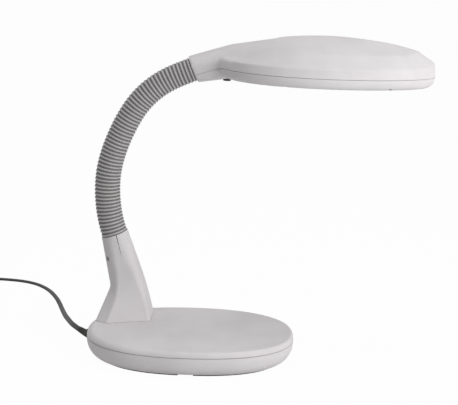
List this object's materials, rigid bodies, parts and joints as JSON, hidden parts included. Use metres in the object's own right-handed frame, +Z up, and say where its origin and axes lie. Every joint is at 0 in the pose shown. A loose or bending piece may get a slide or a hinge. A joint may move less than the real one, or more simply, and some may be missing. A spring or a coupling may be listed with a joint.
{
  "type": "gooseneck desk lamp",
  "caption": "Desk lamp with an oval weighted base, a leaning post, a ribbed bendable neck and a long egg-shaped shade over a twin-tube lamp.",
  "frame": {"origin": "centre of the base on the table", "axes": "+X the way the shade reaches, -Y towards the user, +Z up"},
  "size_m": [0.6583, 0.3633, 0.3794],
  "materials": {
    "shell_plastic": "fine satin moulding",
    "neck_sleeve": "soft matt vinyl",
    "black_rubber": "matt",
    "black_plastic": "satin",
    "screw_steel": "zinc plated",
    "iron": "raw",
    "copper_winding": "enamelled copper wire",
    "white_plastic": "satin",
    "white_sheet": "gloss white",
    "lamp_glass": "white phosphor coating"
  },
  "bodies": {
    "base": {"base_cover": "shell_plastic", "base_tray": "shell_plastic", "post_front": "shell_plastic", "post_rear_cover": "shell_plastic", "foot_strip": "black_rubber", "cord_bush": "black_rubber", "power_cord": "black_rubber", "cord_coil": "black_rubber", "cord_tie": "black_rubber", "base_lead": "black_rubber", "plug_body": "black_plastic", "base_screws": "screw_steel", "weight_screws": "screw_steel", "choke_screws": "screw_steel", "terminal_screws": "screw_steel", "post_rear_screw": "screw_steel", "post_screws": "screw_steel", "neck_nut": "screw_steel", "plug_blades": "screw_steel", "ballast_weight": "iron", "choke_core": "iron", "choke_coil": "copper_winding", "terminal_block": "white_plastic", "neck_link_1": "neck_sleeve"},
    "neck_2": {"neck_link_2": "neck_sleeve"},
    "neck_3": {"neck_link_3": "neck_sleeve"},
    "neck_4": {"neck_link_4": "neck_sleeve"},
    "neck_5": {"neck_link_5": "neck_sleeve"},
    "neck_6": {"neck_link_6": "neck_sleeve"},
    "neck_7": {"neck_link_7": "neck_sleeve"},
    "neck_8": {"neck_link_8": "neck_sleeve"},
    "neck_9": {"neck_link_9": "neck_sleeve"},
    "neck_10": {"neck_link_10": "neck_sleeve"},
    "neck_11": {"neck_link_11": "neck_sleeve"},
    "neck_12": {"neck_link_12": "neck_sleeve"},
    "neck_13": {"neck_link_13": "neck_sleeve"},
    "head": {"neck_link_14": "neck_sleeve", "neck_end_nut": "screw_steel", "head_cover": "shell_plastic", "head_frame": "shell_plastic", "head_screws": "screw_steel", "reflector": "white_sheet", "lamp_holder": "white_plastic", "lamp_cap": "white_plastic", "lamp_tube": "lamp_glass", "tube_clip": "screw_steel", "switch_body": "black_plastic", "switch_lead": "black_rubber"},
    "button": {"switch_button": "black_plastic"}
  },
  "joints": [
    {"name": "neck_bend_1", "type": "hinge", "parent": "base", "child": "neck_2", "pos_m": [-0.10031, 0.047, 0.15221], "axis": [0, 1, 0], "range_deg": [-8.5, 5.5]},
    {"name": "neck_sway_1", "type": "hinge", "parent": "neck_2", "child": "neck_3", "pos_m": [-0.10327, 0.047, 0.16935], "axis": [-0.993, 0, -0.1184], "range_deg": [-7, 7]},
    {"name": "neck_bend_2", "type": "hinge", "parent": "neck_3", "child": "neck_4", "pos_m": [-0.1045, 0.047, 0.1867], "axis": [0, 1, 0], "range_deg": [-8.5, 5.5]},
    {"name": "neck_sway_2", "type": "hinge", "parent": "neck_4", "child": "neck_5", "pos_m": [-0.10398, 0.047, 0.20408], "axis": [-0.9966, 0, 0.0819], "range_deg": [-7, 7]},
    {"name": "neck_bend_3", "type": "hinge", "parent": "neck_5", "child": "neck_6", "pos_m": [-0.10135, 0.047, 0.22127], "axis": [0, 1, 0], "range_deg": [-8.5, 5.5]},
    {"name": "neck_sway_3", "type": "hinge", "parent": "neck_6", "child": "neck_7", "pos_m": [-0.09664, 0.047, 0.23801], "axis": [-0.9472, 0, 0.3206], "range_deg": [-7, 7]},
    {"name": "neck_bend_4", "type": "hinge", "parent": "neck_7", "child": "neck_8", "pos_m": [-0.0905, 0.047, 0.25429], "axis": [0, 1, 0], "range_deg": [-8.5, 5.5]},
    {"name": "neck_sway_4", "type": "hinge", "parent": "neck_8", "child": "neck_9", "pos_m": [-0.08323, 0.047, 0.27009], "axis": [-0.8934, 0, 0.4493], "range_deg": [-7, 7]},
    {"name": "neck_bend_5", "type": "hinge", "parent": "neck_9", "child": "neck_10", "pos_m": [-0.07467, 0.047, 0.28524], "axis": [0, 1, 0], "range_deg": [-8.5, 5.5]},
    {"name": "neck_sway_5", "type": "hinge", "parent": "neck_10", "child": "neck_11", "pos_m": [-0.06429, 0.047, 0.29918], "axis": [-0.7524, 0, 0.6587], "range_deg": [-7, 7]},
    {"name": "neck_bend_6", "type": "hinge", "parent": "neck_11", "child": "neck_12", "pos_m": [-0.0518, 0.047, 0.31126], "axis": [0, 1, 0], "range_deg": [-8.5, 5.5]},
    {"name": "neck_sway_6", "type": "hinge", "parent": "neck_12", "child": "neck_13", "pos_m": [-0.03756, 0.047, 0.32124], "axis": [-0.512, 0, 0.859], "range_deg": [-7, 7]},
    {"name": "neck_bend_7", "type": "hinge", "parent": "neck_13", "child": "head", "pos_m": [-0.02208, 0.047, 0.32915], "axis": [0, 1, 0], "range_deg": [-8.5, 5.5]},
    {"name": "switch_press", "type": "slide", "parent": "head", "child": "button", "axis": [0.0201, 0, 0.9998], "range_m": [0, 0.002]}
  ]
}
